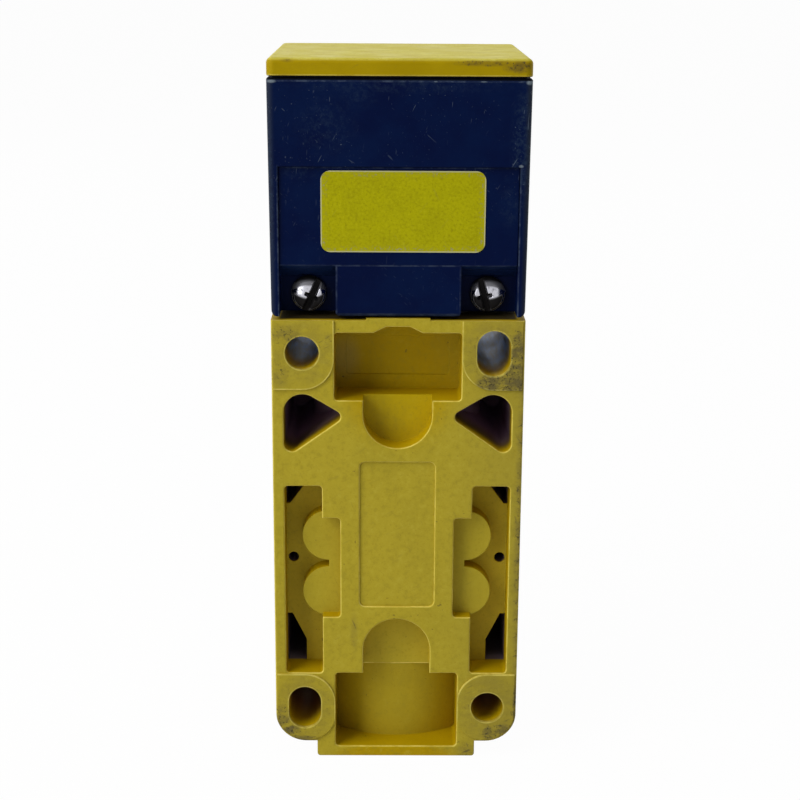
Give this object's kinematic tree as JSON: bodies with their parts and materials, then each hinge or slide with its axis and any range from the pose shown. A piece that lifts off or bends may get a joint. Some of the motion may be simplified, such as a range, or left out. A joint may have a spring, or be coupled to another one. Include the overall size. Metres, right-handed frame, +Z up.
{
  "type": "inductive proximity sensor",
  "caption": "Inductive proximity sensor: square head with active face cap, turning on a moulded terminal base with mounting holes, rear pockets and a threaded cable entry.",
  "frame": {"origin": "middle of the underside of the cable entry rim", "axes": "+Z up along the turning axis of the head, -Y towards the mounting surface, +X to the right seen from the mounting side"},
  "size_m": [0.04, 0.04, 0.114],
  "materials": {
    "yellow_plastic": "moulded, fine spark texture, slightly worn",
    "navy_plastic": "moulded, satin",
    "yellow_film": "printed film, bare",
    "nickel_steel": "bright nickel",
    "black_rubber": "moulded seal",
    "black_plastic": "moulded",
    "brass": "stamped",
    "lead_insulation": "extruded",
    "ferrite": "sintered, ground",
    "pale_plastic": "moulded",
    "copper_wire": "enamelled wire",
    "board_laminate": "solder resist",
    "cast_resin": "cast",
    "can_aluminium": "drawn can",
    "light_resin": "tinted resin",
    "clear_plastic": "clear, slightly frosted"
  },
  "bodies": {
    "base": {"base_housing": "yellow_plastic", "swivel_seal": "black_rubber", "terminal_block": "black_plastic", "terminal_strips": "brass", "terminal_screws": "nickel_steel", "terminal_fixing_screw": "nickel_steel", "connection_leads": "lead_insulation"},
    "head": {"head_housing": "navy_plastic", "rear_panel": "navy_plastic", "blank_label": "yellow_film", "clamp_screws": "nickel_steel", "active_face_cap": "yellow_plastic", "ferrite_core": "ferrite", "coil_bobbin": "pale_plastic", "coil_winding": "copper_wire", "coil_wires": "copper_wire", "circuit_board": "board_laminate", "potting_resin": "cast_resin", "oscillator_chip": "black_plastic", "output_transistor": "black_plastic", "board_capacitors": "can_aluminium", "board_resistors": "black_plastic", "protection_diode": "black_plastic", "status_lights": "light_resin", "light_lenses": "clear_plastic"}
  },
  "joints": [
    {"name": "head_swivel", "type": "hinge", "parent": "base", "child": "head", "pos_m": [0, 0, 0.0775], "axis": [0, 0, 1], "range_deg": [-180, 180]}
  ]
}
